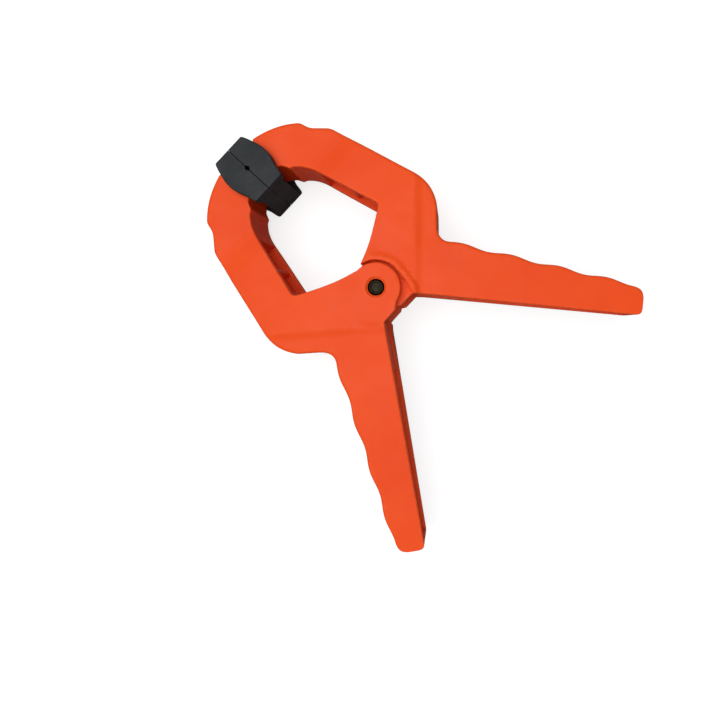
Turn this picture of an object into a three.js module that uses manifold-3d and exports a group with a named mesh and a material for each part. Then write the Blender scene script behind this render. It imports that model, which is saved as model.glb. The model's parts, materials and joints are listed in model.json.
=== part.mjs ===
// A spring clamp lying on its back: two like mouldings that pivot on a pin, pressed shut at the
// jaws by a torsion spring, with a swivelling pad on the end of each jaw.
// Millimetres. +Z is up, +Y runs from the pivot to the jaws, and +X to the right-hand arm.
import * as THREE from 'three';
import { mergeVertices } from 'three/addons/utils/BufferGeometryUtils.js';
import Module from 'manifold-3d';

const wasm = await Module();
wasm.setup();

// ---- driving dimensions ----
const THICK = 28;            // front face to back face
const GAP = 0.3;             // between pieces that touch or turn in each other
const WALL = 3.2;            // plates and web of the arms' channel section
const PAST = 2;              // how far a cutter runs past the face it cuts
const HINGE_STEPS = 18;      // curve steps of the ears and their pockets

const EAR_R = 8.9;           // hinge ears
const EAR_THICK = 4;
const POCKET_R = 9.8;        // room in each arm for the other arm's ears
const SKIRT_Y = -10.6;       // flat lower edge of an ear
const PIN_R = 2.75;
const PIN_RECESS = 0.9;      // pin ends lie this far under the ears' faces
const MOUTH_R = 3.9;         // countersunk mouth of the pin's hole
const BUSH_R = 4.6;

const HANDLE_START = new THREE.Vector2(9.2, -13.2);   // inner edge of the handle, at its root
const HANDLE_TURN = -52.6;   // degrees, direction of that edge
const HANDLE_LENGTH = 81.8;
const GRIP_WIDTH = 21.5;     // width of the handle at its root, and what it loses per millimetre
const GRIP_TAPER = 0.129;
const SCALLOP_FIRST = 13.6;  // first crest of the finger grip, and the length and depth of a wave
const SCALLOP_PITCH = 18.1;
const SCALLOP_DEPTH = 1;

// Both faces fall away from the hinge: distance past a line across the arm, and fall there.
const CREASE = [new THREE.Vector2(10, -12.4), new THREE.Vector2(36, 12)];
const HANDLE_FALL = [[-2, 0], [1, 1], [12, 1.9], [84, 6.2], [104, 7.4]];
const JAW_LINE_Y = 16;
const JAW_FALL = [[0, 0], [6, 0.9], [22, 2.2], [33, 4.1], [70, 4.1]];

const BAR_START = new THREE.Vector2(22.4, 20.9);      // inner edge of the jaw's straight bar
const BAR_END = new THREE.Vector2(16.3, 44.5);
const BAR_WIDTH = 16.2;
const BAR_RECESS = 3.4;      // the jaw bar is recessed only this deep

const FIRST_CELL = [15, 28.9];       // handle's channel cell that the spring's leg lies in
const GRIP_CELLS_START = 31;         // the smaller cells beyond it
const RIB = 2;
const RIB_SET_BACK = 4.5;    // from the channel's mouth to its ribs
const BAR_RIB_SET_BACK = 1.2;

const WIRE_R = 1.1;          // torsion spring
const COIL_R = 6.3;
const COIL_TURNS = 3;        // whole turns, besides the part turn between the legs
const LEG_ALONG = 24;        // where the legs' ends lie in the handles
const LEG_ACROSS = 12.9;

const PAD_PIN = new THREE.Vector2(6, 62);
const PAD_PIN_R = 1.6;
const PAD_PIN_IN_CHEEK = 2;  // length of the pin in each cheek
const PAD_PIN_FACETS = 20;
const TONGUE_R = 3.2;        // rounded end of the jaw inside its pad
const CHEEK = 3.6;           // pad's cheeks over the jaw's end
const PAD_BASE = 2.5;        // from the mid plane to the back of the pad's gripping wall
const PAD_END_Y = 72.3;
const PAD_FOOT_Y = 52.2;
const PAD_FOOT_WALL = [5.6, 54.7];   // how far the pad's foot wall reaches out and up
const PAD_END_WALL = [6, 70.6];
const PAD_INSET = 0.2;       // pads are this much thinner than the arms, on each face
const GROOVE_Y = 62.8;       // upright groove that holds round stock
const GROOVE = 0.9;

const EARS = {               // levels of the right-hand arm's ears, turned over for the left
  outer: [0, EAR_THICK],
  inner: [THICK - 2 * EAR_THICK - GAP, THICK - EAR_THICK - GAP],
};
const SPRING_ROOM = [THICK - EARS.inner[0], EARS.inner[0]];

// ---- helpers ----
const nylon = new THREE.MeshStandardMaterial({ color: 0xf0582e, roughness: 0.45, metalness: 0 });
const softPlastic = new THREE.MeshStandardMaterial({ color: 0x2c2f32, roughness: 0.7, metalness: 0 });
const darkSteel = new THREE.MeshStandardMaterial({ color: 0x3a3733, roughness: 0.4, metalness: 0.9 });
const springSteel = new THREE.MeshStandardMaterial({ color: 0x8d8f92, roughness: 0.3, metalness: 1 });
const blackNylon = new THREE.MeshStandardMaterial({ color: 0x1d1d1f, roughness: 0.6, metalness: 0 });

function solid(geometry) {
  const bare = geometry.clone();
  bare.deleteAttribute('normal');
  bare.deleteAttribute('uv');
  const merged = mergeVertices(bare, 1e-4);
  return new wasm.Manifold(new wasm.Mesh({
    numProp: 3,
    vertProperties: new Float32Array(merged.attributes.position.array),
    triVerts: new Uint32Array(merged.index.array),
  }));
}

function meshOf(name, body, material) {
  const { vertProperties, triVerts } = body.getMesh();
  const geometry = new THREE.BufferGeometry();
  geometry.setAttribute('position', new THREE.BufferAttribute(new Float32Array(vertProperties), 3));
  geometry.setIndex(new THREE.BufferAttribute(new Uint32Array(triVerts), 1));
  geometry.computeVertexNormals();
  const mesh = new THREE.Mesh(geometry, material);
  mesh.name = name;
  return mesh;
}

// A plan outline carried up from one level to another.
function slab(shape, low, high, curveSegments = 6) {
  const geometry = new THREE.ExtrudeGeometry(shape, { depth: high - low, bevelEnabled: false, curveSegments });
  return solid(geometry.translate(0, 0, low));
}

function polygon(points) {
  return new THREE.Shape(points.map(([x, y]) => new THREE.Vector2(x, y)));
}

// A round piece about an upright axis through the point `at`; the profile is radius, height pairs.
function turned(profile, at = new THREE.Vector2(), segments = 40) {
  const points = profile.map(([r, z]) => new THREE.Vector2(r, z));
  const geometry = new THREE.LatheGeometry(points, segments);
  return solid(geometry.rotateX(Math.PI / 2).translate(at.x, at.y, 0));
}

function rod(radius, low, high, at, segments) {
  return turned([[0, low], [radius, low], [radius, high], [0, high]], at, segments);
}

// ---- handle coordinates: u along the inner edge from the root, v across to the outer edge ----
const handleWay = new THREE.Vector2(1, 0).rotateAround(new THREE.Vector2(), HANDLE_TURN * Math.PI / 180);
const handleOut = new THREE.Vector2(-handleWay.y, handleWay.x);

function onHandle(u, v) {
  const p = HANDLE_START.clone().addScaledVector(handleWay, u).addScaledVector(handleOut, v);
  return [p.x, p.y];
}

function gripWidth(u) {
  const wave = Math.cos(2 * Math.PI * (u - SCALLOP_FIRST) / SCALLOP_PITCH);
  return GRIP_WIDTH - GRIP_TAPER * u - SCALLOP_DEPTH * (1 - wave) / 2;
}

function fallAt(profile, distance) {
  const next = profile.findIndex(([d]) => d > distance);
  if (next < 1) return next === 0 ? 0 : profile.at(-1)[1];
  const [[d0, f0], [d1, f1]] = [profile[next - 1], profile[next]];
  return f0 + (f1 - f0) * (distance - d0) / (d1 - d0);
}

const creaseWay = CREASE[1].clone().sub(CREASE[0]).normalize();
const creaseOut = new THREE.Vector2(creaseWay.y, -creaseWay.x);   // from the crease towards the handle's end

function pastCrease([x, y]) {
  return new THREE.Vector2(x, y).sub(CREASE[0]).dot(creaseOut);
}

// ---- right-hand arm ----
function armPlan() {
  const shape = new THREE.Shape();
  shape.moveTo(2, 9.6);
  shape.lineTo(7.6, -11.2);                                  // cut back by the pocket afterwards
  shape.lineTo(...onHandle(0, 0));
  shape.lineTo(...onHandle(HANDLE_LENGTH - 2, 0));
  shape.quadraticCurveTo(...onHandle(HANDLE_LENGTH, 0), ...onHandle(HANDLE_LENGTH, 2));
  shape.lineTo(...onHandle(HANDLE_LENGTH, gripWidth(HANDLE_LENGTH) - 3.5));
  const roundEnd = HANDLE_LENGTH - 4;
  shape.quadraticCurveTo(...onHandle(HANDLE_LENGTH, gripWidth(HANDLE_LENGTH) - 0.4),
    ...onHandle(roundEnd, gripWidth(roundEnd)));
  const steps = 34;
  const gripStart = 9;
  for (let i = 1; i <= steps; i++) {
    const u = roundEnd + (gripStart - roundEnd) * i / steps;
    shape.lineTo(...onHandle(u, gripWidth(u)));
  }
  shape.bezierCurveTo(28.8, -6.4, 28.2, -4, 31.4, -0.8);      // neck
  shape.lineTo(37, 4.5);
  shape.quadraticCurveTo(41.4, 10.4, 40, 16.9);              // shoulder
  shape.lineTo(32.1, 49.1);
  shape.quadraticCurveTo(31.7, 51.2, 30.9, 52.8);
  shape.lineTo(27.1, 57);
  shape.quadraticCurveTo(26, 58.2, 25.6, 59.9);              // notch behind the jaw's head
  shape.quadraticCurveTo(25.3, 61.8, 24.5, 62.5);
  shape.quadraticCurveTo(18.4, 68.4, 8.8, 70.6);
  const [above, below] = [125, 226].map((a) => a * Math.PI / 180);
  shape.absarc(PAD_PIN.x, PAD_PIN.y, TONGUE_R, above, below, false);
  shape.lineTo(7.1, 57.3);
  shape.lineTo(9.1, 55.8);                                   // room for the pad's foot to swing
  shape.lineTo(10.35, 53.2);
  shape.lineTo(11.6, 52.6);
  shape.quadraticCurveTo(15, 49.6, BAR_END.x, BAR_END.y);
  shape.lineTo(BAR_START.x, BAR_START.y);
  shape.quadraticCurveTo(22.6, 19.7, 21.3, 18.9);
  shape.quadraticCurveTo(10.3, 12, 2, 9.6);                  // foot of the throat
  return shape;
}

function earPlan() {
  const shape = new THREE.Shape();
  shape.absarc(0, 0, EAR_R, Math.PI / 2, 1.5 * Math.PI, false);
  shape.lineTo(1.5, SKIRT_Y);
  shape.lineTo(8.4, SKIRT_Y);
  shape.lineTo(15, -9);
  shape.lineTo(15, 11);
  shape.lineTo(2, 9.6);
  return shape;
}

// Room for the other arm's ears, widened at the foot so that they can swing.
function pocketPlan() {
  const shape = new THREE.Shape();
  const below = -20;                                         // outside the arm
  shape.absarc(0, 0, POCKET_R, 0, Math.PI, false);
  shape.lineTo(-POCKET_R, below);
  shape.lineTo(0, below);
  shape.lineTo(6.9, -12.6);
  shape.lineTo(9.3, -5);
  return shape;
}

// The plan through which the spring's leg reaches the handle, and the wide first cell of the channel.
function legRoomPlan() {
  const reach = 29;
  return polygon([[0, 7.5], [7, 6.5], onHandle(10, gripWidth(10) - WALL), onHandle(reach, gripWidth(reach) - WALL),
    onHandle(reach, -PAST), onHandle(-3, -PAST), [0, -16]]);
}

// A cutter whose underside falls away from a line across the arm through the point `at`.
function slopeCutter(at, out, profile) {
  const [lid, reach] = [THICK + 12, 80];
  const outline = [...profile.map(([d, f]) => [d, THICK - f]), [profile.at(-1)[0], lid], [profile[0][0], lid]];
  const geometry = new THREE.ExtrudeGeometry(polygon(outline), { depth: 2 * reach, bevelEnabled: false });
  const across = new THREE.Vector3(out.y, -out.x, 0);
  const turn = new THREE.Matrix4()
    .makeBasis(new THREE.Vector3(out.x, out.y, 0), new THREE.Vector3(0, 0, 1), across)
    .setPosition(at.x - reach * across.x, at.y - reach * across.y, 0);
  return solid(geometry.applyMatrix4(turn));
}

function turnOver(body) {
  return body.rotate([0, 180, 0]).translate([0, 0, THICK]).scale([-1, 1, 1]);
}

// Cells of the channel section, between ribs, along a stretch of the arm.
function channelCells(toPlan, start, end, count, widthAt, levelAt, setBack) {
  const pitch = (end - start + RIB) / count;
  const cells = [];
  for (let i = 0; i < count; i++) {
    const [a, b] = [start + i * pitch, start + (i + 1) * pitch - RIB];
    const low = WALL + levelAt(b);
    cells.push(slab(polygon([toPlan(a, -PAST), toPlan(b, -PAST), toPlan(b, widthAt(b) - WALL),
      toPlan(a, widthAt(a) - WALL)]), low, THICK - low));
    if (i < count - 1) {
      cells.push(slab(polygon([toPlan(b - 0.1, -PAST), toPlan(b + RIB + 0.1, -PAST),
        toPlan(b + RIB + 0.1, setBack), toPlan(b - 0.1, setBack)]), low, THICK - low));
    }
  }
  return cells;
}

const barWay = BAR_END.clone().sub(BAR_START).normalize();
const barOut = new THREE.Vector2(barWay.y, -barWay.x);

function onBar(u, v) {
  const p = BAR_START.clone().addScaledVector(barWay, u).addScaledVector(barOut, v);
  return [p.x, p.y];
}

function armBody() {
  let body = slab(armPlan(), 0, THICK).subtract(slab(pocketPlan(), -PAST, THICK + PAST, HINGE_STEPS));
  const slopes = [slopeCutter(CREASE[0], creaseOut, HANDLE_FALL),
    slopeCutter(new THREE.Vector2(0, JAW_LINE_Y), new THREE.Vector2(0, 1), JAW_FALL)];
  for (const slope of slopes) body = body.subtract(slope).subtract(turnOver(slope));
  for (const [low, high] of [EARS.outer, EARS.inner]) body = body.add(slab(earPlan(), low, high, HINGE_STEPS));
  body = body.subtract(slab(legRoomPlan(), ...SPRING_ROOM));

  const fallAlong = (u) => fallAt(HANDLE_FALL, pastCrease(onHandle(u, gripWidth(u) / 2)));
  const barFall = (u) => fallAt(JAW_FALL, onBar(u, BAR_WIDTH / 2)[1] - JAW_LINE_Y);
  const barLength = BAR_START.distanceTo(BAR_END);
  const cutters = [
    ...channelCells(onHandle, ...FIRST_CELL, 1, gripWidth, fallAlong, RIB_SET_BACK),
    ...channelCells(onHandle, GRIP_CELLS_START, HANDLE_LENGTH - WALL, 4, gripWidth, fallAlong, RIB_SET_BACK),
    ...channelCells(onBar, 1, barLength - 1, 2, () => BAR_RECESS + WALL, barFall, BAR_RIB_SET_BACK),
    rod(PIN_R + GAP, -PAST, THICK + PAST),
    turned([[0, -PAST], [MOUTH_R + PAST, -PAST], [PIN_R, MOUTH_R - PIN_R], [0, MOUTH_R - PIN_R]]),
    rod(PAD_PIN_R + GAP, -PAST, THICK + PAST, PAD_PIN, PAD_PIN_FACETS),
  ];
  for (const cutter of cutters) body = body.subtract(cutter);
  return body;
}

// ---- hinge ----
function pivotPin() {
  const [low, high] = [PIN_RECESS, THICK - PIN_RECESS];
  const [rim, dish, dishR] = [0.5, 0.4, PIN_R - 1.2];
  return turned([[0, low + dish], [dishR, low + dish], [PIN_R - rim - 0.2, low], [PIN_R - rim, low],
    [PIN_R, low + rim], [PIN_R, high - rim], [PIN_R - rim, high], [PIN_R - rim - 0.2, high],
    [dishR, high - dish], [0, high - dish]]);
}

function springBush() {
  const [low, high] = [SPRING_ROOM[0] + GAP, SPRING_ROOM[1] - GAP];
  return rod(BUSH_R, low, high).subtract(rod(PIN_R + GAP, low - PAST, high + PAST));
}

// A coil about the pivot, whose legs leave it as tangents and lie along the handles' webs.
class SpringPath extends THREE.Curve {
  constructor() {
    super();
    const end = new THREE.Vector2(...onHandle(LEG_ALONG, LEG_ACROSS));
    const touch = end.angle() + Math.acos(COIL_R / end.length()) - 2 * Math.PI;   // right leg's tangent point
    this.start = Math.PI - touch;                              // the left leg's
    this.legLength = Math.sqrt(end.lengthSq() - COIL_R ** 2);
    this.sweep = 2 * Math.PI * COIL_TURNS + Math.PI - 2 * touch;
    this.total = 2 * this.legLength + this.sweep * COIL_R;
    this.low = SPRING_ROOM[0] + GAP + WIRE_R;
    this.high = SPRING_ROOM[1] - GAP - WIRE_R;
  }

  getPoint(t, target = new THREE.Vector3()) {
    const along = t * this.total - this.legLength;             // from the left leg's tangent point
    const turn = THREE.MathUtils.clamp(along / COIL_R, 0, this.sweep);
    const over = along - turn * COIL_R;                        // how far out along a leg, with its sign
    const angle = this.start - turn;
    const rise = this.low + (this.high - this.low) * turn / this.sweep;
    return target.set(COIL_R * Math.cos(angle) + over * Math.sin(angle),
      COIL_R * Math.sin(angle) - over * Math.cos(angle), rise);
  }
}

function torsionSpring() {
  const wire = new THREE.Shape().absarc(0, 0, WIRE_R, 0, 2 * Math.PI);
  return solid(new THREE.ExtrudeGeometry(wire, {
    steps: 84, curveSegments: 4, bevelEnabled: false, extrudePath: new SpringPath(),
  }));
}

// ---- jaw pads ----
function padPlan() {
  const face = GAP / 2;
  return polygon([[face, PAD_FOOT_Y], [6.8, PAD_FOOT_Y], [7.2, 53.5], [7.6, 56], [8.6, 59], [9.2, 61], [9.3, 63],
    [8.9, 66], [8.1, 69], [6.8, PAD_END_Y], [face, PAD_END_Y]]);
}

function padBody() {
  const [low, high] = [PAD_INSET, THICK - PAD_INSET];
  const [footX, footY] = PAD_FOOT_WALL;
  const [endX, endY] = PAD_END_WALL;
  const beyond = 14;                                         // outside the cheeks
  const slot = polygon([[PAD_BASE, footY], [footX, footY], [footX, PAD_FOOT_Y - PAST],
    [beyond, PAD_FOOT_Y - PAST], [beyond, PAD_END_Y + PAST], [endX, PAD_END_Y + PAST], [endX, endY],
    [PAD_BASE, endY]]);
  const groove = polygon([[-GROOVE, GROOVE_Y - 2 * GROOVE], [GROOVE, GROOVE_Y], [-GROOVE, GROOVE_Y + 2 * GROOVE]]);
  const bore = PAD_INSET + CHEEK - PAD_PIN_IN_CHEEK - GAP;
  return slab(padPlan(), low, high)
    .subtract(slab(slot, low + CHEEK, high - CHEEK))
    .subtract(slab(groove, -PAST, THICK + PAST))
    .subtract(rod(PAD_PIN_R + GAP, bore, THICK - bore, PAD_PIN, PAD_PIN_FACETS));
}

function padPin() {
  const end = PAD_INSET + CHEEK - PAD_PIN_IN_CHEEK;
  return rod(PAD_PIN_R, end, THICK - end, PAD_PIN, PAD_PIN_FACETS);
}

// ---- assembly: the left-hand pieces are the right-hand ones turned over about the long axis ----
const clamp = new THREE.Group();
const leftHand = new THREE.Group();
leftHand.rotation.y = Math.PI;
leftHand.position.z = THICK;

clamp.add(
  meshOf('arm_right', armBody(), nylon),
  meshOf('pad_right', padBody(), softPlastic),
  meshOf('pad_pin_right', padPin(), darkSteel),
  meshOf('pivot_pin', pivotPin(), darkSteel),
  meshOf('spring_bush', springBush(), blackNylon),
  meshOf('torsion_spring', torsionSpring(), springSteel),
  leftHand,
);
leftHand.add(
  meshOf('arm_left', armBody(), nylon),
  meshOf('pad_left', padBody(), softPlastic),
  meshOf('pad_pin_left', padPin(), darkSteel),
);

// The origin is the middle of the footprint, on the surface the clamp lies on.
const reach = new THREE.Box3().setFromObject(clamp);
clamp.position.y = -(reach.min.y + reach.max.y) / 2;

export default clamp;
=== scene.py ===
"""A spring clamp lying on a pale table: two like mouldings of orange nylon on a steel pivot, a torsion
spring in the hinge, and black swivel pads on the jaws. Lengths inside the shape functions are in
millimetres about the pivot; placed() turns them into metres."""
import json
import math

import bmesh
import bpy
import numpy as np
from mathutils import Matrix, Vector


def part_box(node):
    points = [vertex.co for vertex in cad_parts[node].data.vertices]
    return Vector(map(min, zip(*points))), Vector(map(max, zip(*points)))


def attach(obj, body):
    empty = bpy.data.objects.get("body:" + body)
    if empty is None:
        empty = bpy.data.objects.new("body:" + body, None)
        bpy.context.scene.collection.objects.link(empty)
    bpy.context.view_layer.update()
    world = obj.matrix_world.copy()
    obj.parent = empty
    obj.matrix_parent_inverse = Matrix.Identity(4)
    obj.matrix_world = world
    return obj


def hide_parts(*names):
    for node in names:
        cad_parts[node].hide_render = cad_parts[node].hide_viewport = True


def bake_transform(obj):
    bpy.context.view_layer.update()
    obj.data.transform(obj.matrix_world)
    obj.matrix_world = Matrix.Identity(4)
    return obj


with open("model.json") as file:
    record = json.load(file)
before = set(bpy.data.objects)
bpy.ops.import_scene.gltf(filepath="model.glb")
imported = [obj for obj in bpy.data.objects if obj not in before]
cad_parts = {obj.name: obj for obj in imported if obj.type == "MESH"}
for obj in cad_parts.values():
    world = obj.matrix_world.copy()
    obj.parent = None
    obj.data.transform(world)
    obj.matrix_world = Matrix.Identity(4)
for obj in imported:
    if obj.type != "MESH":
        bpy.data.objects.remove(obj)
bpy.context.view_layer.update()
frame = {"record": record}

# ---- sizes taken from the frame ----
MM = 0.001
hinge = {j["name"]: j for j in frame["record"]["behaviour"]["joints"]}
PIVOT = np.array(hinge["jaw_hinge"]["pos_m"]) * (1, 1, 0) / MM


def box_mm(node):
    """The node's lowest and highest corners, in millimetres about the pivot."""
    low, high = (np.array(c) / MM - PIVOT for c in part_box(node))
    return low, high


arm_low, arm_high = box_mm("arm_right")
THICK = arm_high[2] - arm_low[2]
EAR_R = -arm_low[0]
pin_low, pin_high = box_mm("pivot_pin")
PIN_R = pin_high[0]
pad_pin_low, pad_pin_high = box_mm("pad_pin_right")
PAD_PIN = (pad_pin_low + pad_pin_high)[:2] / 2
PAD_PIN_R = (pad_pin_high - pad_pin_low)[0] / 2
pad_low, pad_high = box_mm("pad_right")
bush_low, bush_high = box_mm("spring_bush")
spring_low, spring_high = box_mm("torsion_spring")

# ---- sizes of the arm moulding ----
GAP = 0.3                   # between pieces that turn in each other
WALL = 3.2                  # plates and web of the channel section
EAR_THICK = 4.0
POCKET_R = 9.8              # room for the other arm's ears
POCKET_FROM, POCKET_TO = -28.3, 78.2
SKIRT_Y = -10.6             # flat lower edge of an ear
INNER_EAR = (THICK - 2 * EAR_THICK - GAP, THICK - EAR_THICK - GAP)
SPRING_FLOOR = THICK - INNER_EAR[0]
CROTCH = (7.5, -11.2)       # where an ear's edge leaves the handle's inner edge
HANDLE_START = np.array((9.2, -13.2))
HANDLE_TURN = math.radians(-52.6)
HANDLE_LENGTH = 81.8
GRIP_WIDTH, GRIP_TAPER = 21.5, 0.129
SCALLOP_FIRST, SCALLOP_PITCH, SCALLOP_DEPTH = 13.6, 18.1, 1.0
GRIP_START = 9.0            # where the scallops begin, along the handle
CREASE = np.array(((10.0, -12.4), (36.0, 12.0)))
HANDLE_FALL = np.array((    # distance past the crease, and how far the face lies below the full thickness
    (-2.4, 0.0), (-1.6, 0.1), (-0.4, 0.55), (0.7, 0.92), (2.0, 1.08), (12.0, 1.9), (84.0, 6.2), (104.0, 7.4)))
JAW_LINE_Y = 16.0
JAW_FALL = np.array((       # the same past a line across the jaw
    (-1.5, 0.0), (1.5, 0.3), (5.0, 0.75), (8.0, 1.08), (20.0, 2.05), (24.0, 2.5), (30.0, 3.6), (33.0, 3.95),
    (37.0, 4.1), (70.0, 4.1)))
BAR_START, BAR_END = np.array((22.4, 20.9)), np.array((16.3, 44.5))
BAR_RECESS, BAR_RIB_SET_BACK = 3.4, 1.2
RIB, RIB_SET_BACK = 2.0, 4.5
FIRST_CELL, GRIP_CELLS_START = (15.0, 28.9), 31.0
TONGUE_R = 3.2              # rounded end of the jaw, between the pad's cheeks
MOUTH_R = 3.9               # countersunk mouth of the pin's hole
OFF_STRETCH = -50.0         # place along a stretch given to rungs that are not on it

# ---- sizes of the pads and the spring ----
CHEEK = 3.6
PAD_FACE, PAD_BASE = 0.03, 2.5
FOOT_WALL, END_WALL = (5.6, 54.7), (6.0, 70.6)   # how far each wall reaches out, and the level it ends at
VEE_Y, VEE_HALF, VEE_DEEP = 62.8, 1.15, 0.8
RIB_PITCH, RIB_HALF_DEEP = 1.5, 0.15
WIRE_R, COIL_R, COIL_TURNS = 1.1, 6.3, 3
LEG_ALONG, LEG_ACROSS = 24.0, 12.9          # where a leg ends, on the handle

crease_way = (CREASE[1] - CREASE[0]) / np.linalg.norm(CREASE[1] - CREASE[0])
crease_out = np.array((crease_way[1], -crease_way[0]))
handle_way = np.array((math.cos(HANDLE_TURN), math.sin(HANDLE_TURN)))
handle_out = np.array((-handle_way[1], handle_way[0]))
bar_way = (BAR_END - BAR_START) / np.linalg.norm(BAR_END - BAR_START)
bar_length = np.linalg.norm(BAR_END - BAR_START)


# ---- curves: each takes t from 0 to 1 and gives plan points ----
def line(a, b):
    a, b = np.array(a, float), np.array(b, float)
    return lambda t: a + (b - a) * t[:, None]


def bend(a, c, b):
    """Quadratic curve from a to b, drawn towards c."""
    a, c, b = (np.array(p, float) for p in (a, c, b))
    return lambda t: ((1 - t) ** 2)[:, None] * a + (2 * t * (1 - t))[:, None] * c + (t**2)[:, None] * b


def cubic(a, b, c, d):
    """Cubic curve from a to d, drawn towards b and c."""
    a, b, c, d = (np.array(p, float) for p in (a, b, c, d))

    def at(t):
        s = 1 - t
        return (s**3)[:, None] * a + (3 * s * s * t)[:, None] * b + (3 * s * t * t)[:, None] * c + (t**3)[:, None] * d
    return at


def swing(centre, radius, start, end):
    """Circle arc, angles in degrees."""
    def at(t):
        angle = np.radians(start + (end - start) * t)
        return np.array(centre) + radius * np.stack((np.cos(angle), np.sin(angle)), axis=1)
    return at


def part_of(curve, start, end):
    return lambda t: curve(start + (end - start) * t)


def on_handle(u, v):
    """Point u along the handle's inner edge from its root and v across to the outer edge."""
    return HANDLE_START + np.multiply.outer(u, handle_way) + np.multiply.outer(v, handle_out)


def grip_width(u):
    """Width that falls along the handle, less shallow finger scallops of one cosine wave each."""
    wave = np.cos(2 * np.pi * (u - SCALLOP_FIRST) / SCALLOP_PITCH)
    return GRIP_WIDTH - GRIP_TAPER * u - SCALLOP_DEPTH * (1 - wave) / 2


def grip_edge(start, end):
    def at(t):
        u = start + (end - start) * t
        return on_handle(u, grip_width(u))
    return at


def step(x, low, high):
    """Smooth step from 0 below low to 1 above high."""
    t = np.clip((x - low) / (high - low), 0, 1)
    return t * t * (3 - 2 * t)


def softened(points, passes):
    """Rounds the corners of a row of points by averaging each with its neighbours, ends kept."""
    for _ in range(passes):
        points = np.concatenate((points[:1], (points[:-2] + 2 * points[1:-1] + points[2:]) / 4, points[-1:]))
    return points


# ---- mesh making ----
def placed(points):
    return (points + PIVOT) * MM


def turned_over(points):
    """The left-hand piece is the right-hand one turned over about the clamp's long axis."""
    return points * (-1, 1, -1) + (0, 0, THICK)


def closed_grid(points, close_rows=False):
    """Quads of a grid (rows, columns, 3) whose columns close on themselves, as flat arrays."""
    rows, columns = points.shape[:2]
    number = np.arange(rows * columns).reshape(rows, columns)
    below = np.roll(number, -1, axis=0) if close_rows else number[1:]
    here = number if close_rows else number[:-1]
    quads = np.stack((here, np.roll(here, -1, axis=1), np.roll(below, -1, axis=1), below), axis=-1)
    return points.reshape(-1, 3), quads.reshape(-1, 4)


def mesh_of(name, parts):
    """One mesh from several closed grids. Doubled points at poles and seams are merged, and faces that
    came out inside out are turned."""
    verts, faces, start = [], [], 0
    for points, quads in parts:
        verts.append(placed(points))
        faces.append(quads + start)
        start += len(points)
    mesh = bpy.data.meshes.new(name)
    mesh.from_pydata(np.concatenate(verts), [], np.concatenate(faces).tolist())
    work = bmesh.new()
    work.from_mesh(mesh)
    bmesh.ops.remove_doubles(work, verts=work.verts, dist=2e-6)
    bmesh.ops.dissolve_degenerate(work, dist=1e-6, edges=work.edges)
    if work.calc_volume(signed=True) < 0:
        bmesh.ops.reverse_faces(work, faces=work.faces)
    work.to_mesh(mesh)
    work.free()
    return mesh


def mark_edges(mesh, reach=1.6 * MM):
    """Stores how sharply the surface turns at each point, 0 on flats to 1 on ridges, as "edge"."""
    work = bmesh.new()
    work.from_mesh(mesh)
    turn = np.zeros(len(work.verts))
    for e in work.edges:
        if len(e.link_faces) == 2 and e.is_convex:
            angle = e.calc_face_angle(0.0)
            for v in e.verts:
                turn[v.index] = max(turn[v.index], angle)
    work.free()
    ends = np.zeros(len(mesh.edges) * 2, dtype=np.int32)
    mesh.edges.foreach_get("vertices", ends)
    ends = ends.reshape(-1, 2)
    worn = np.clip(turn / 0.5, 0, 1)
    total, count = worn.copy(), np.ones(len(worn))
    for a, b in ((0, 1), (1, 0)):
        np.add.at(total, ends[:, a], worn[ends[:, b]])
        np.add.at(count, ends[:, a], 1)
    attribute = mesh.attributes.new("edge", "FLOAT", "POINT")
    attribute.data.foreach_set("value", (total / count).astype(np.float32))


def piece(name, mesh, material, body, *nodes, slot=None, sharp=38):
    obj = bpy.data.objects.new(name, mesh)
    bpy.context.scene.collection.objects.link(obj)
    mesh.shade_smooth()
    mesh.set_sharp_from_angle(angle=math.radians(sharp))
    mark_edges(mesh)
    mesh.materials.clear()
    mesh.materials.append(material)
    if body:
        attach(obj, body)
    if nodes:
        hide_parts(*nodes)
    return obj


def rounded_loops(corners, radii, arc, runs):
    """Closed loops through rows of corners (rows, corners, 3). Each corner becomes a quadratic curve that
    starts and ends its radius away along the loop, and the stretch after it is split into runs[k] pieces."""
    before, after = np.roll(corners, 1, axis=1) - corners, np.roll(corners, -1, axis=1) - corners
    long_before = np.linalg.norm(before, axis=2, keepdims=True)
    long_after = np.linalg.norm(after, axis=2, keepdims=True)
    r = np.minimum(np.array(radii)[None, :, None], 0.47 * np.minimum(long_before, long_after))
    start = corners + before / np.maximum(long_before, 1e-9) * r
    end = corners + after / np.maximum(long_after, 1e-9) * r
    columns = []
    for k, count in enumerate(runs):
        for t in np.linspace(0, 1, arc + 1):
            columns.append((1 - t) ** 2 * start[:, k] + 2 * t * (1 - t) * corners[:, k] + t * t * end[:, k])
        nxt = start[:, (k + 1) % len(runs)]
        for t in np.linspace(0, 1, count + 1)[1:-1]:
            columns.append(end[:, k] + (nxt - end[:, k]) * t)
    return np.stack(columns, axis=1)


def lathe(profile, centre=(0, 0), turns=96, closed=False):
    """A profile of radius, height pairs carried round an upright axis."""
    profile = np.array(profile, float)
    angle = np.linspace(0, 2 * np.pi, turns, endpoint=False)
    ring = np.stack((np.cos(angle), np.sin(angle)), axis=1)
    grid = np.concatenate((profile[:, None, :1] * ring, np.repeat(profile[:, None, 1:], turns, axis=1)), axis=2)
    grid[..., :2] += centre
    return closed_grid(grid, close_rows=closed)


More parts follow.
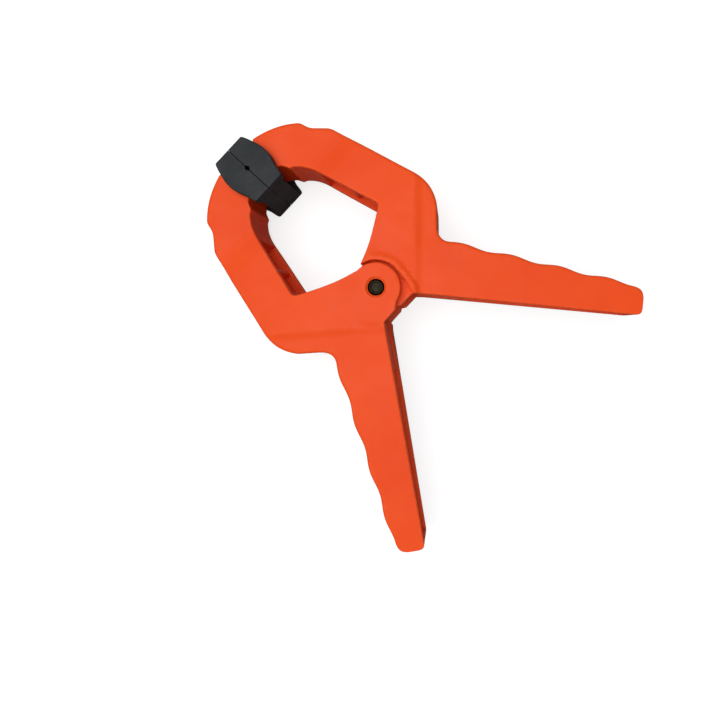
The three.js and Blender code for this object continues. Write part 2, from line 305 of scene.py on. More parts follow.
def cut(mesh, cutters):
    """The mesh with closed cutter meshes taken out of it."""
    obj = bpy.data.objects.new("blank", mesh)
    bpy.context.scene.collection.objects.link(obj)
    tools = []
    for cutter in cutters:
        tool = bpy.data.objects.new("cutter", cutter)
        bpy.context.scene.collection.objects.link(tool)
        modifier = obj.modifiers.new("cut", "BOOLEAN")
        modifier.operation, modifier.object, modifier.solver = "DIFFERENCE", tool, "EXACT"
        tools.append(tool)
    graph = bpy.context.evaluated_depsgraph_get()
    result = bpy.data.meshes.new_from_object(obj.evaluated_get(graph))
    result.name = mesh.name
    for spare in (obj, *tools):
        old = spare.data
        bpy.data.objects.remove(spare)
        bpy.data.meshes.remove(old)
    return result


# ---- arm moulding ----
def arm_rungs():
    """The arm is a ladder from the handle's end to the jaw's tip: rungs run from its inner edge to its
    outer edge. Each stretch names its count of rungs and the curves that its two ends follow."""
    w_end = grip_width(HANDLE_LENGTH)
    round_end = HANDLE_LENGTH - 4
    neck = cubic(on_handle(GRIP_START, grip_width(GRIP_START)), (28.8, -6.4), (28.2, -4.0), (31.4, -0.8))
    shoulder = bend((37, 4.5), (41.4, 10.4), (40, 16.9))
    throat = bend((2, 9.6), (10.3, 12), (21.3, 18.9))
    crown = bend(BAR_END, (15, 49.6), (11.6, 52.6))
    head = bend((24.5, 62.5), (18.4, 68.4), (8.8, 70.6))
    above, below = 125, 226
    top_tongue, low_tongue = swing(PAD_PIN, TONGUE_R, 0, 360)(np.array((above / 360, below / 360)))
    return [
        (8, bend(on_handle(HANDLE_LENGTH, 2), on_handle(HANDLE_LENGTH, 0), on_handle(HANDLE_LENGTH - 2, 0)),
         bend(on_handle(HANDLE_LENGTH, w_end - 3.5), on_handle(HANDLE_LENGTH, w_end - 0.4),
              on_handle(round_end, grip_width(round_end)))),
        (250, line(on_handle(HANDLE_LENGTH - 2, 0), on_handle(0, 0)), grip_edge(round_end, GRIP_START)),
        (10, line(on_handle(0, 0), CROTCH), part_of(neck, 0, 0.35)),
        (20, line(CROTCH, (9.3, -5)), part_of(neck, 0.35, 1)),
        (20, swing((0, 0), POCKET_R, POCKET_FROM, 25), line((31.4, -0.8), (37, 4.5))),
        (20, swing((0, 0), POCKET_R, 25, POCKET_TO), part_of(shoulder, 0, 0.5)),
        (46, throat, part_of(shoulder, 0.5, 1)),
        (6, bend((21.3, 18.9), (22.6, 19.7), BAR_START), line((40, 16.9), (39.5, 19.0))),
        (70, line(BAR_START, BAR_END), line((39.5, 19.0), (32.1, 49.1))),
        (10, part_of(crown, 0, 0.25), bend((32.1, 49.1), (31.7, 51.2), (30.9, 52.8))),
        (12, part_of(crown, 0.25, 0.45), line((30.9, 52.8), (27.1, 57))),
        (14, part_of(crown, 0.45, 0.65), bend((27.1, 57), (26, 58.2), (25.6, 59.9))),
        (8, part_of(crown, 0.65, 0.8), bend((25.6, 59.9), (25.3, 61.8), (24.5, 62.5))),
        (24, part_of(crown, 0.8, 1), part_of(head, 0, 0.5)),
        (10, line((11.6, 52.6), (10.35, 53.2)), part_of(head, 0.5, 0.72)),
        (12, line((10.35, 53.2), (9.1, 55.8)), part_of(head, 0.72, 0.9)),
        (8, line((9.1, 55.8), (7.1, 57.3)), part_of(head, 0.9, 1)),
        (24, line((7.1, 57.3), low_tongue), line((8.8, 70.6), top_tongue)),
        (10, swing(PAD_PIN, TONGUE_R, below, 180), swing(PAD_PIN, TONGUE_R, above, 180)),
    ]


GRIP_STRETCHES = range(0, 2)        # places in arm_rungs' list
PIVOT_STRETCHES = range(3, 6)
BAR_STRETCH = range(8, 9)


def rungs_of(counts, stretches):
    """Slice of the rungs that belong to a run of stretches."""
    return slice(sum(counts[:stretches.start]), sum(counts[:stretches.stop]))


def even_steps(knots, count):
    """Points at even steps of length along a row of knots."""
    length = np.concatenate(((0,), np.cumsum(np.linalg.norm(np.diff(knots, axis=0), axis=1))))
    even = np.linspace(0, length[-1], count)
    return np.stack([np.interp(even, length, knots[:, k]) for k in (0, 1)], axis=1)


def ear_edge(count):
    """The ears' edge from the crotch round the pivot's far side to the throat, in even steps."""
    heel = (7.0, SKIRT_Y - 0.05)
    toe = (1.2, SKIRT_Y)
    return even_steps(np.concatenate([
        line(CROTCH, heel)(np.linspace(0, 1, 8)),
        line(heel, toe)(np.linspace(0, 1, 16)),
        line(toe, (-1.5, -8.77))(np.linspace(0, 1, 10))[1:],
        swing((0, 0), EAR_R, 260, 90)(np.linspace(0, 1, 120))[1:],
        line((0, EAR_R), (2, 9.6))(np.linspace(0, 1, 8))[1:],
    ]), count)


def cells(along, start, end, count, soft=0.3):
    """1 in the open cells of the channel between start and end, 0 on its ribs and past its ends."""
    pitch = (end - start + RIB) / count
    mask = np.zeros_like(along)
    for i in range(count):
        low, high = start + i * pitch, start + (i + 1) * pitch - RIB
        mask = np.maximum(mask, step(along, low - soft, low) * (1 - step(along, high, high + soft)))
    return mask


def span(along, start, end, soft=0.3):
    return step(along, start - soft, start) * (1 - step(along, end, end + soft))


def face_fall(plan):
    """How far a face lies below the full thickness: it falls past the crease towards the handle's end, and
    past a line over the throat towards the jaw's tip."""
    past = (plan - CREASE[0]) @ crease_out
    return (np.interp(past, HANDLE_FALL[:, 0], HANDLE_FALL[:, 1])
            + np.interp(plan[..., 1] - JAW_LINE_Y, JAW_FALL[:, 0], JAW_FALL[:, 1]))


def relief(points):
    """Moulded relief of the two faces, cut inwards. Front: a thin bead runs round the pocket and leaves it
    towards the crotch, with a hollow outside and a lowered lip at the pocket's foot. Back: the foot of a
    round boss. A shallow valley follows the crease on both. Each fades out over the edge's depth."""
    x, y, z = np.moveaxis(points, -1, 0)
    radius, angle = np.hypot(x, y), np.degrees(np.arctan2(y, x))
    plan = points[..., :2] - CREASE[0]
    past, along = plan @ crease_out, plan @ crease_way
    ridge = np.interp(angle, (-60, -46, -34, -16, 60), (14.6, 13.8, 12.3, 11.3, 11.2))
    near = step(angle, -75, -62) * (1 - step(angle, 36, 66))
    hollow = 0.8 * step(radius, ridge + 0.3, ridge + 1.4) * (1 - step(radius, ridge + 1.6, ridge + 12.0)) * near
    lip = 1.3 * (1 - step(radius, 9.9, 10.7)) * (1 - step(angle, -26, -14))
    valley = 0.12 * np.exp(-(((past + 0.6) / 2.2) ** 2)) * step(along, -6, 0) * (1 - step(along, 3, 30))
    foot = np.interp(angle, (-40, -5, 15), (14.0, 15.5, 15.7))
    boss = 0.35 * np.exp(-(((radius - foot) / 1.4) ** 2)) * step(angle, -62, -45) * (1 - step(angle, 0, 38))
    fade = 2.6
    top = np.clip((z - (THICK - fade)) / fade, 0, 1)
    bottom = np.clip((fade - z) / fade, 0, 1)
    return (hollow + lip + valley) * top, (boss + valley) * bottom


def arm_grid():
    """One closed surface: a section of plates and recesses carried from the handle's end to the jaw's tip.
    Round the section come the front face, the front plate's edge, the recess over the inner ear, that
    ear, the spring's room, the outer ear on the back plate, the back face and the outer wall."""
    stretches = arm_rungs()
    counts = [n for n, _, _ in stretches]
    inner, outer = (
        np.concatenate([stretch[side](np.linspace(0, 1, stretch[0], endpoint=False)) for stretch in stretches]
                       + [stretches[-1][side](np.ones(1))]) for side in (1, 2))
    inner, outer = softened(inner, 2), softened(outer, 3)
    rungs = len(inner)
    number = np.arange(rungs)
    chord = np.maximum(np.linalg.norm(outer - inner, axis=1), 1e-6)

    at_pivot = rungs_of(counts, PIVOT_STRETCHES)
    ears = inner.copy()
    ears[at_pivot] = ear_edge(at_pivot.stop - at_pivot.start)
    pivotal = np.zeros(rungs, bool)
    pivotal[at_pivot] = True

    on_grip = number < rungs_of(counts, GRIP_STRETCHES).stop
    u = np.where(on_grip, (inner - HANDLE_START) @ handle_way, OFF_STRETCH)
    bar = rungs_of(counts, BAR_STRETCH)
    on_bar = (number >= bar.start) & (number < bar.stop)
    b = np.where(on_bar, (inner - BAR_START) @ bar_way, OFF_STRETCH)
    to_web = np.maximum(chord - WALL, 0)
    grip_end = HANDLE_LENGTH - WALL
    grip_cell = np.maximum(cells(u, *FIRST_CELL, 1), cells(u, GRIP_CELLS_START, grip_end, 4))
    channel = np.maximum.reduce((
        grip_cell * to_web, span(u, FIRST_CELL[0], grip_end) * np.minimum(RIB_SET_BACK, to_web),
        cells(b, 1.0, bar_length - 1, 2) * BAR_RECESS, span(b, 1.0, bar_length - 1) * BAR_RIB_SET_BACK))

    # The spring's leg runs under the line from the pocket's top to the web.
    start, end = np.array((7.0, 6.5)), on_handle(10.0, grip_width(10.0) - WALL)
    normal = np.array((-(end - start)[1], (end - start)[0]))
    side_in, side_out = (inner - start) @ normal, (outer - start) @ normal
    under = np.clip(side_in / np.where(np.abs(side_in - side_out) < 1e-9, 1, side_in - side_out), 0, 1) * chord
    leg = np.where(side_in * side_out < 0, np.minimum(under, to_web), 0)
    near_root = number < at_pivot.stop
    leg = np.where(near_root & ((u < 29.0) | ~on_grip), np.where(u > GRIP_START, to_web, leg), 0)
    leg = softened(leg[:, None], 3)[:, 0]

    def across(depth):
        return inner + (outer - inner) * (depth / chord)[:, None]

    def at(plan, height):
        return np.concatenate((plan, np.broadcast_to(np.reshape(height, (-1, 1)), (rungs, 1))), axis=1)

    top, bottom = THICK, 0.0
    mid_plate = np.where(pivotal[:, None], ears, across(channel))
    open_ear = np.where(pivotal, INNER_EAR[1], THICK - WALL)
    back_plate = np.where(pivotal, EAR_THICK, WALL)
    spring_depth = np.maximum(channel, leg)
    corners = np.stack([
        at(outer, top),
        at(inner, top),
        at(inner, open_ear),
        at(across(channel), open_ear),
        at(across(channel), INNER_EAR[1]),
        at(mid_plate, INNER_EAR[1]),
        at(mid_plate, INNER_EAR[0]),
        at(across(spring_depth), INNER_EAR[0]),
        at(across(spring_depth), SPRING_FLOOR),
        at(across(channel), SPRING_FLOOR),
        at(across(channel), back_plate),
        at(ears, back_plate),
        at(ears, bottom),
        at(outer, bottom),
    ], axis=1)
    radii = [1.5, 0.7, 0.35, 0.5, 0.4, 0.5, 0.5, 0.5, 0.5, 0.4, 0.5, 0.5, 0.8, 1.5]
    runs = [24, 1, 2, 1, 3, 1, 3, 2, 2, 1, 3, 1, 30, 5]
    grid = rounded_loops(corners, radii, 4, runs)

    squeeze = 1 - face_fall(grid[..., :2]) / (THICK / 2)
    grid[..., 2] = THICK / 2 + (grid[..., 2] - THICK / 2) * squeeze
    front, back = relief(grid)
    grid[..., 2] += back - front

    # The handle's end face is the first section drawn in to its middle.
    middle = grid[0].mean(axis=0)
    end_face = middle + (grid[0] - middle) * np.array((0.0, 0.55, 0.9))[:, None, None]
    return np.concatenate((end_face, grid))


def arm_mesh(name, over=False):
    points, quads = closed_grid(arm_grid())
    mouth = [(0, -1), (MOUTH_R + 1, -1), (PIN_R + GAP, MOUTH_R - PIN_R - GAP), (PIN_R + GAP, THICK / 2)]
    bore = mouth + [(r, THICK - z) for r, z in reversed(mouth)]
    holes = [lathe(bore, turns=72), lathe([(0, -1), (PAD_PIN_R + GAP, -1), (PAD_PIN_R + GAP, THICK + 1),
                                           (0, THICK + 1)], PAD_PIN, 48)]
    if over:
        points = turned_over(points)
        holes = [(turned_over(p), q) for p, q in holes]
    return cut(mesh_of(name, [(points, quads)]), [mesh_of("hole", [hole]) for hole in holes])


# ---- pads ----
def pad_grid():
    """Plan loops stacked through the thickness. The gripping edge has an upright vee and fine ribs; the
    other edge is the cheek's outline in the cheeks, and between them it draws in to the gripping wall,
    with a wall across the foot and another across the far end."""
    foot, end, corner, count = pad_low[1], pad_high[1], 0.12, 150
    y = np.linspace(end - corner, foot + corner, count)
    from_vee = np.abs(y - VEE_Y)
    vee = np.clip(1 - from_vee / VEE_HALF, 0, 1) * VEE_DEEP
    ribs = RIB_HALF_DEEP * (1 - np.cos(2 * np.pi * (y - VEE_Y) / RIB_PITCH)) * step(from_vee, 1.6, 2.4)
    ribs *= step(end - y, 1.4, 2.4) * step(y - foot, 1.4, 2.4)
    knots = np.array((
        (PAD_FACE + corner, foot), (6.2, foot), (6.7, foot + 0.15), (6.95, foot + 0.6), (7.2, 53.7), (7.55, 56),
        (8.1, 57.6), (8.75, 59.3), (9.2, 61.2), (pad_high[0], 63), (9.1, 65.2), (8.5, 67.6), (7.75, 70),
        (7.1, 71.6), (6.85, end - 0.2), (6.6, end), (PAD_FACE + corner, end)))
    cheek = softened(even_steps(knots, count), 3)
    gripping = np.arange(len(y) + len(cheek)) < len(y)

    def outline(rib_size):
        return np.concatenate((np.stack((PAD_FACE + vee + ribs * rib_size, y), axis=1), cheek))

    rows = []

    def level(plan, height):
        rows.append(np.column_stack((plan, np.full(len(plan), height))))

    loop = outline(0.0)
    tangent = np.roll(loop, -1, axis=0) - np.roll(loop, 1, axis=0)
    normal = np.stack((tangent[:, 1], -tangent[:, 0]), axis=1)
    normal /= np.linalg.norm(normal, axis=1, keepdims=True)
    for _ in range(4):
        normal = (np.roll(normal, 1, axis=0) + 2 * normal + np.roll(normal, -1, axis=0)) / 4
    normal *= np.where(gripping, 0.3, 1.0)[:, None]
    walls = np.where(loop[:, 1] < FOOT_WALL[1], FOOT_WALL[0],
                     np.where(loop[:, 1] > END_WALL[1], END_WALL[0], PAD_BASE))
    wall = np.stack((np.minimum(loop[:, 0], walls), loop[:, 1]), axis=1)
    wall[gripping] = outline(1.0)[gripping]
    low, high = pad_low[2], pad_high[2]
    centre, edge, dome = np.array((3.6, 62.3)), 0.55, 0.1
    for t in (0.0, 0.25, 0.5, 0.75, 0.9, 0.97):                     # the cheek's face, slightly domed
        level(centre + (loop - normal * edge - centre) * t, low + dome * t**2)
    for turn in np.linspace(0, np.pi / 2, 6):                       # rounded rim
        level(loop - normal * edge * (1 - math.sin(turn)), low + dome + edge * (1 - math.cos(turn)))
    for z, size in ((1.2, 0.0), (1.8, 0.6), (2.6, 1.0), (CHEEK - 0.3, 1.0)):
        level(outline(size), low + z)
    inside, ribbed = low + CHEEK, outline(1.0)
    inset = normal * np.where(gripping, 0.0, 0.25)[:, None]
    for t, rise in ((0.0, 0.0), (0.5, 0.0), (0.97, 0.0), (1.0, 0.25)):   # the cheek's inner face
        level((ribbed - inset * (1 - t)) * (1 - t) + wall * t, inside + rise)
    for z in np.linspace(inside + 1.5, THICK / 2, 6):
        level(wall, z)
    lower = np.array(rows)
    upper = lower[-2::-1] * (1, 1, -1) + (0, 0, low + high)
    return np.concatenate((lower, upper))


def pad_mesh(name, over=False):
    points, quads = closed_grid(pad_grid())
    low, high, radius = pad_pin_low[2] - GAP, pad_pin_high[2] + GAP, PAD_PIN_R + GAP
    bore, sides = lathe([(0, low), (radius, low), (radius, high), (0, high)], PAD_PIN, 48)
    if over:
        points, bore = turned_over(points), turned_over(bore)
    return cut(mesh_of(name, [(points, quads)]), [mesh_of("hole", [(bore, sides)])])


# ---- turned pieces ----
def pin_profile(radius, low, high, dish, chamfer=0.35):
    """Half section of a headed-over pin: dished end, rolled rim, shank, and the same at the top."""
    rim = [(0, low + dish), (radius * 0.34, low + dish), (radius * 0.62, low + dish * 0.86)]
    for angle in np.linspace(np.pi, 2 * np.pi, 9)[1:-1]:
        rim.append((radius * 0.79 + radius * 0.15 * math.cos(angle),
                    low + radius * 0.15 * (1 + math.sin(angle))))
    rim += [(radius - chamfer * 0.3, low + chamfer * 0.9), (radius, low + chamfer * 1.5)]
    steps = [(radius, z) for z in np.linspace(low + 2, high - 2, 8)]
    return rim + steps + [(r, low + high - z) for r, z in reversed(rim)]


def bush_profile():
    """Section of the sleeve that carries the coil, with a small chamfer at each mouth."""
    bore, radius = PIN_R + GAP, bush_high[0]
    low, high, c = bush_low[2], bush_high[2], 0.35
    return [(bore + c, low), (radius - c, low), (radius, low + c), (radius, high - c), (radius - c, high),
            (bore + c, high), (bore, high - c), (bore, low + c)]


def spring_path(count=520):
    """Middle line of the wire: a straight leg, a coil about the pivot that climbs evenly, and the other
    leg. Each leg leaves the coil as a tangent."""
    end = on_handle(LEG_ALONG, LEG_ACROSS)
    reach = np.hypot(*end)
    touch = math.atan2(end[1], end[0]) + math.acos(COIL_R / reach)
    leg = math.sqrt(reach**2 - COIL_R**2)
    sweep = 2 * math.pi * COIL_TURNS + math.pi - 2 * touch
    along = np.linspace(-leg, sweep * COIL_R + leg, count)
    turn = np.clip(along / COIL_R, 0, sweep)
    over = along - turn * COIL_R
    angle = math.pi - touch - turn
    low, high = spring_low[2] + WIRE_R, spring_high[2] - WIRE_R
    return np.stack((COIL_R * np.cos(angle) + over * np.sin(angle), COIL_R * np.sin(angle) - over * np.cos(angle),
                     low + (high - low) * turn / sweep), axis=1)


def wire_grid():
    """A round wire swept along the spring's path, its ends cut square with a small chamfer."""
    path = spring_path()
    tangent = np.gradient(path, axis=0)
    tangent /= np.linalg.norm(tangent, axis=1, keepdims=True)
    side = np.cross(tangent, (0.0, 0.0, 1.0))
    side /= np.linalg.norm(side, axis=1, keepdims=True)
    lift = np.cross(side, tangent)
    angle = np.linspace(0, 2 * np.pi, 16, endpoint=False)
    ring = np.cos(angle)[None, :, None] * side[:, None] + np.sin(angle)[None, :, None] * lift[:, None]
    grid = path[:, None] + WIRE_R * ring
    chamfer = 0.2

    def end_rows(k, inwards):
        """The wire's end: its middle, the flat, and the chamfer's outer edge."""
        rows = [path[k] + ring[k] * WIRE_R * t for t in (0.0, 0.8)]
        return np.array([*rows, path[k] + ring[k] * WIRE_R + tangent[k] * chamfer * inwards])

    return np.concatenate((end_rows(0, 1), grid[2:-2], end_rows(-1, -1)[::-1]))


# ---- materials ----
def socketed_group(name, inputs, outputs):
    tree = bpy.data.node_groups.new(name, "ShaderNodeTree")
    for label, kind, value in inputs:
        socket = tree.interface.new_socket(label, in_out="INPUT", socket_type=kind)
        if value is not None:
            socket.default_value = value
    for label, kind in outputs:
        tree.interface.new_socket(label, in_out="OUTPUT", socket_type=kind)
    return tree, tree.nodes.new("NodeGroupInput"), tree.nodes.new("NodeGroupOutput")


def add(tree, kind, settings=None, **inputs):
    """A node with its settings, and its inputs as values or as sockets to link from. An input is named, with
    _ for a space, or numbered as i0, i1 and so on."""
    made = tree.nodes.new(kind)
    for key, value in (settings or {}).items():
        setattr(made, key, value)
    for key, value in inputs.items():
        numbered = key[0] == "i" and key[1:].isdigit()
        socket = made.inputs[int(key[1:]) if numbered else key.replace("_", " ")]
        if isinstance(value, bpy.types.NodeSocket):
            tree.links.new(value, socket)
        else:
            socket.default_value = value
    return made


def noise(tree, vector, scale, detail=3.0, roughness=0.55):
    return add(tree, "ShaderNodeTexNoise", {"noise_dimensions": "3D"}, Vector=vector, Scale=scale, Detail=detail,
               Roughness=roughness).outputs["Fac"]


def remap(tree, value, low, high, to_low, to_high):
    return add(tree, "ShaderNodeMapRange", {"clamp": True}, Value=value, From_Min=low, From_Max=high, To_Min=to_low,
               To_Max=to_high).outputs["Result"]


def mix_colour(tree, factor, a, b):
    return add(tree, "ShaderNodeMix", {"data_type": "RGBA"}, i0=factor, i6=a, i7=b).outputs[2]


def math_node(tree, operation, a, b):
    return add(tree, "ShaderNodeMath", {"operation": operation}, i0=a, i1=b).outputs[0]


def moulded_surface():
    """Injection-moulded plastic: cloudy colour from the melt's flow, a fine spark-eroded grain, rubbed
    edges and scattered handling marks."""
    tree, given, out = socketed_group(
        "moulded surface",
        [("Position", "NodeSocketVector", None), ("Edge", "NodeSocketFloat", 0.0),
         ("Colour", "NodeSocketColor", None), ("Cloud", "NodeSocketColor", None),
         ("Rubbed", "NodeSocketColor", None), ("Grain", "NodeSocketFloat", 2600.0),
         ("Gloss low", "NodeSocketFloat", 0.34), ("Gloss high", "NodeSocketFloat", 0.5),
         ("Rubbing", "NodeSocketFloat", 0.5)],
        [("Colour", "NodeSocketColor"), ("Roughness", "NodeSocketFloat"), ("Height", "NodeSocketFloat")])
    place = given.outputs["Position"]
    cloud = remap(tree, noise(tree, place, 34.0, 4.0), 0.35, 0.7, 0.0, 1.0)
    stretched = add(tree, "ShaderNodeMapping", None, Vector=place, Scale=(1.0, 0.25, 1.0)).outputs[0]
    flow = remap(tree, noise(tree, stretched, 120.0, 2.0), 0.4, 0.65, 0.0, 0.35)
    tone = mix_colour(tree, math_node(tree, "MAXIMUM", cloud, flow), given.outputs["Colour"], given.outputs["Cloud"])
    patch = remap(tree, noise(tree, place, 420.0, 5.0, 0.7), 0.42, 0.62, 0.0, 1.0)
    worn = math_node(tree, "MULTIPLY", math_node(tree, "MULTIPLY", given.outputs["Edge"], patch),
                     given.outputs["Rubbing"])
    colour = mix_colour(tree, worn, tone, given.outputs["Rubbed"])
    grain = noise(tree, place, given.outputs["Grain"], 2.0, 0.6)
    rub = remap(tree, noise(tree, place, 90.0, 5.0, 0.65), 0.35, 0.7, 0.0, 1.0)
    rough = remap(tree, rub, 0.0, 1.0, given.outputs["Gloss low"], given.outputs["Gloss high"])
    rough = math_node(tree, "SUBTRACT", rough, math_node(tree, "MULTIPLY", worn, 0.08))
    ripple = noise(tree, place, 140.0, 2.0)
    height = math_node(tree, "ADD", math_node(tree, "MULTIPLY", grain, 0.3), math_node(tree, "MULTIPLY", ripple, 0.7))
    for label, value in (("Colour", colour), ("Roughness", rough), ("Height", height)):
        tree.links.new(value, out.inputs[label])
    return tree


def drawn_metal():
    """Steel with drawing or turning marks, darkened in patches by oil."""
    tree, given, out = socketed_group(
        "drawn metal",
        [("Position", "NodeSocketVector", None), ("Edge", "NodeSocketFloat", 0.0),
         ("Colour", "NodeSocketColor", None), ("Stain", "NodeSocketColor", None),
         ("Bright", "NodeSocketColor", None)],
        [("Colour", "NodeSocketColor"), ("Roughness", "NodeSocketFloat"), ("Height", "NodeSocketFloat")])
    place = given.outputs["Position"]
    stain = remap(tree, noise(tree, place, 260.0, 5.0, 0.7), 0.4, 0.65, 0.0, 1.0)
    colour = mix_colour(tree, stain, given.outputs["Colour"], given.outputs["Stain"])
    edge = math_node(tree, "MULTIPLY", given.outputs["Edge"], 0.6)
    colour = mix_colour(tree, edge, colour, given.outputs["Bright"])
    stretched = add(tree, "ShaderNodeMapping", None, Vector=place, Scale=(1.0, 1.0, 9.0)).outputs[0]
    marks = noise(tree, stretched, 900.0, 3.0)
    rough = remap(tree, marks, 0.3, 0.7, 0.26, 0.46)
    for label, value in (("Colour", colour), ("Roughness", rough), ("Height", marks)):
        tree.links.new(value, out.inputs[label])
    return tree


def finish(name, group, bump, distance, metal=0.0, **inputs):
    """A material that feeds one Principled shader from a surface group."""
    material = bpy.data.materials.new(name)
    material.use_nodes = True
    tree = material.node_tree
    shader = tree.nodes["Principled BSDF"]
    shader.inputs["Metallic"].default_value = metal
    surface = add(tree, "ShaderNodeGroup", {"node_tree": group})
    tree.links.new(add(tree, "ShaderNodeTexCoord").outputs["Object"], surface.inputs["Position"])
    edge = add(tree, "ShaderNodeAttribute", {"attribute_name": "edge"})
    tree.links.new(edge.outputs["Fac"], surface.inputs["Edge"])
    for key, value in inputs.items():
        surface.inputs[key.replace("_", " ")].default_value = value
    raised = add(tree, "ShaderNodeBump", None, Strength=bump, Distance=distance, Height=surface.outputs["Height"])
    tree.links.new(surface.outputs["Colour"], shader.inputs["Base Color"])
    tree.links.new(surface.outputs["Roughness"], shader.inputs["Roughness"])
    tree.links.new(raised.outputs["Normal"], shader.inputs["Normal"])
    return material, shader


MOULDED = moulded_surface()
METAL = drawn_metal()


def orange_nylon():
    material, shader = finish(
        "orange nylon", MOULDED, 0.16, 0.0003, Colour=(0.85, 0.077, 0.008, 1), Cloud=(0.80, 0.064, 0.006, 1),
        Rubbed=(0.88, 0.13, 0.03, 1), Gloss_low=0.4, Gloss_high=0.54)
    shader.inputs["Specular IOR Level"].default_value = 0.16
    return material


def pad_plastic():
    material, shader = finish(
        "pad plastic", MOULDED, 0.3, 0.0004, Colour=(0.013, 0.016, 0.019, 1), Cloud=(0.009, 0.012, 0.014, 1),
        Rubbed=(0.03, 0.032, 0.035, 1), Grain=2200.0, Gloss_low=0.5, Gloss_high=0.68, Rubbing=0.6)
    shader.inputs["Specular IOR Level"].default_value = 0.3
    return material


def black_nylon():
    material, _ = finish("black nylon", MOULDED, 0.2, 0.0003, Colour=(0.012, 0.012, 0.013, 1),
                         Cloud=(0.017, 0.017, 0.018, 1), Rubbed=(0.03, 0.03, 0.03, 1))
    return material


def dark_steel():
    material, _ = finish("dark steel", METAL, 0.15, 0.0001, metal=1.0, Colour=(0.017, 0.016, 0.01, 1),
                         Stain=(0.009, 0.008, 0.005, 1), Bright=(0.03, 0.027, 0.02, 1))
    return material


def spring_wire():
    material, _ = finish("spring wire", METAL, 0.1, 0.0001, metal=1.0, Colour=(0.42, 0.42, 0.43, 1),
                         Stain=(0.24, 0.235, 0.225, 1), Bright=(0.6, 0.6, 0.6, 1))
    return material


nylon, rubbery, steel, wire_steel, sleeve = orange_nylon(), pad_plastic(), dark_steel(), spring_wire(), black_nylon()

# ---- camera: straight down over the handles, turned so that the jaws point up and to the left ----
CAMERA_OVER = np.array((8.1, -30.5))
CAMERA_HEIGHT = 193.0
CAMERA_TURN = math.radians(-47.2)
CAMERA_LENS, CAMERA_SENSOR = 27.0, 36.0
CAMERA_SHIFT = (-0.13, -0.044)
camera_data = bpy.data.cameras.new("camera")
camera_data.lens, camera_data.sensor_width = CAMERA_LENS, CAMERA_SENSOR
camera_data.shift_x, camera_data.shift_y = CAMERA_SHIFT
camera_data.clip_start = 0.01
camera = bpy.data.objects.new("camera", camera_data)
bpy.context.scene.collection.objects.link(camera)
camera.location = Vector(placed(np.array((*CAMERA_OVER, THICK + CAMERA_HEIGHT))))
camera.rotation_euler = (0, 0, CAMERA_TURN)
bpy.context.scene.camera = camera

# ---- pieces ----
piece("arm_moulding_right", arm_mesh("arm_moulding_right"), nylon, "right_arm", "arm_right", slot="orange_nylon")
piece("arm_moulding_left", arm_mesh("arm_moulding_left", over=True), nylon, "left_arm", "arm_left",
      slot="orange_nylon")
piece("jaw_pad_right", pad_mesh("jaw_pad_right"), rubbery, "right_pad", "pad_right", slot="pad_plastic")
piece("jaw_pad_left", pad_mesh("jaw_pad_left", over=True), rubbery, "left_pad", "pad_left", slot="pad_plastic")

pivot_rivet = mesh_of("pivot_rivet", [lathe(pin_profile(PIN_R, pin_low[2], pin_high[2], 0.55))])
piece("pivot_rivet", pivot_rivet, steel, "left_arm", "pivot_pin", slot="dark_steel")
for side, sign in (("right", 1), ("left", -1)):
    pin = mesh_of(f"pad_pivot_{side}", [lathe(pin_profile(PAD_PIN_R, pad_pin_low[2], pad_pin_high[2], 0.2),
                                              PAD_PIN * (sign, 1), 48)])
    piece(f"pad_pivot_{side}", pin, steel, f"{side}_arm", f"pad_pin_{side}", slot="dark_steel")
piece("spring_sleeve", mesh_of("spring_sleeve", [lathe(bush_profile(), closed=True)]), sleeve, "left_arm",
      "spring_bush", slot="black_nylon")

spring = piece("wire_spring", mesh_of("wire_spring", [closed_grid(wire_grid())]), wire_steel, None,
               "torsion_spring", slot="spring_steel")
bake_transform(spring)


# ---- table and light ----
TABLE_HALF, TABLE_DROP = 3.0, 0.0002    # metres
TABLE_GLOW = 0.76                       # for the camera only
WORLD_LIGHT, WORLD_SEEN = 0.22, 0.95    # the backdrop's strength as light, and as the camera sees it


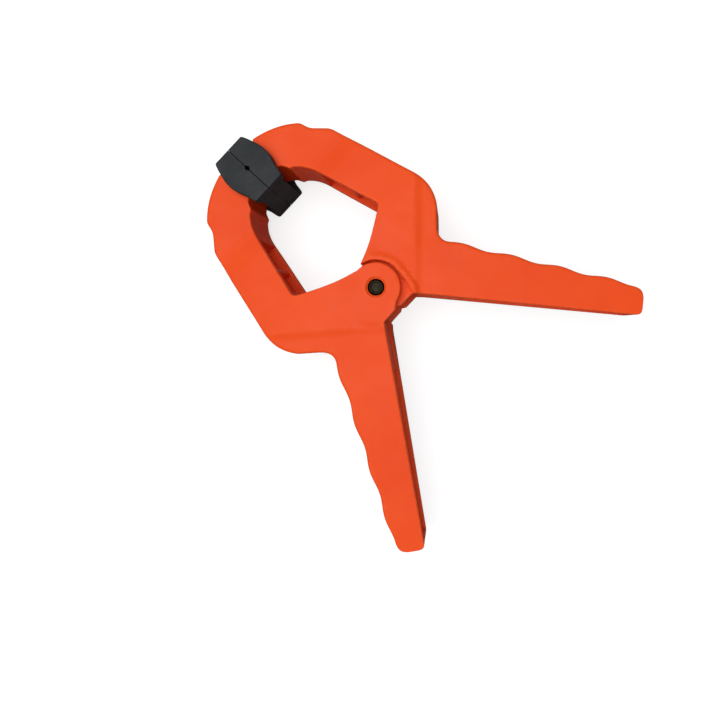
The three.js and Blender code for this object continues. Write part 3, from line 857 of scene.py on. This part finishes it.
def table():
    mesh = bpy.data.meshes.new("table")
    corners = [(x * TABLE_HALF, y * TABLE_HALF, 0) for x, y in ((-1, -1), (1, -1), (1, 1), (-1, 1))]
    mesh.from_pydata(corners, [], [(0, 1, 2, 3)])
    obj = bpy.data.objects.new("table", mesh)
    bpy.context.scene.collection.objects.link(obj)
    obj.location.z = -TABLE_DROP
    material = bpy.data.materials.new("pale table")
    material.use_nodes = True
    tree = material.node_tree
    shader = tree.nodes["Principled BSDF"]
    shader.inputs["Roughness"].default_value = 0.85
    place = add(tree, "ShaderNodeTexCoord").outputs["Object"]
    tone = mix_colour(tree, noise(tree, place, 3.0), (0.31, 0.31, 0.31, 1), (0.33, 0.33, 0.33, 1))
    tree.links.new(tone, shader.inputs["Base Color"])
    shader.inputs["Emission Color"].default_value = (1, 1, 1, 1)
    seen = math_node(tree, "MULTIPLY", add(tree, "ShaderNodeLightPath").outputs["Is Camera Ray"], TABLE_GLOW)
    tree.links.new(seen, shader.inputs["Emission Strength"])
    mesh.materials.append(material)


def lamp(name, place, size, power, aim=(0.0, 0.0, 0.0)):
    data = bpy.data.lights.new(name, "AREA")
    data.shape, data.size, data.energy = "SQUARE", size, power
    obj = bpy.data.objects.new(name, data)
    bpy.context.scene.collection.objects.link(obj)
    obj.location = place
    obj.rotation_euler = (Vector(aim) - Vector(place)).to_track_quat("-Z", "Y").to_euler()


table()
lamp("overhead", (-0.15, 0.2, 1.45), 1.5, 22.5)
lamp("side", (-1.2, -0.9, 0.9), 0.9, 1.6)
world = bpy.data.worlds.new("studio")
world.use_nodes = True
world.node_tree.nodes["Background"].inputs["Color"].default_value = (1, 1, 1, 1)
seen = add(world.node_tree, "ShaderNodeLightPath").outputs["Is Camera Ray"]
backdrop = remap(world.node_tree, seen, 0.0, 1.0, WORLD_LIGHT, WORLD_SEEN)
world.node_tree.links.new(backdrop, world.node_tree.nodes["Background"].inputs["Strength"])
bpy.context.scene.world = world
bpy.context.scene.view_settings.view_transform = "Standard"
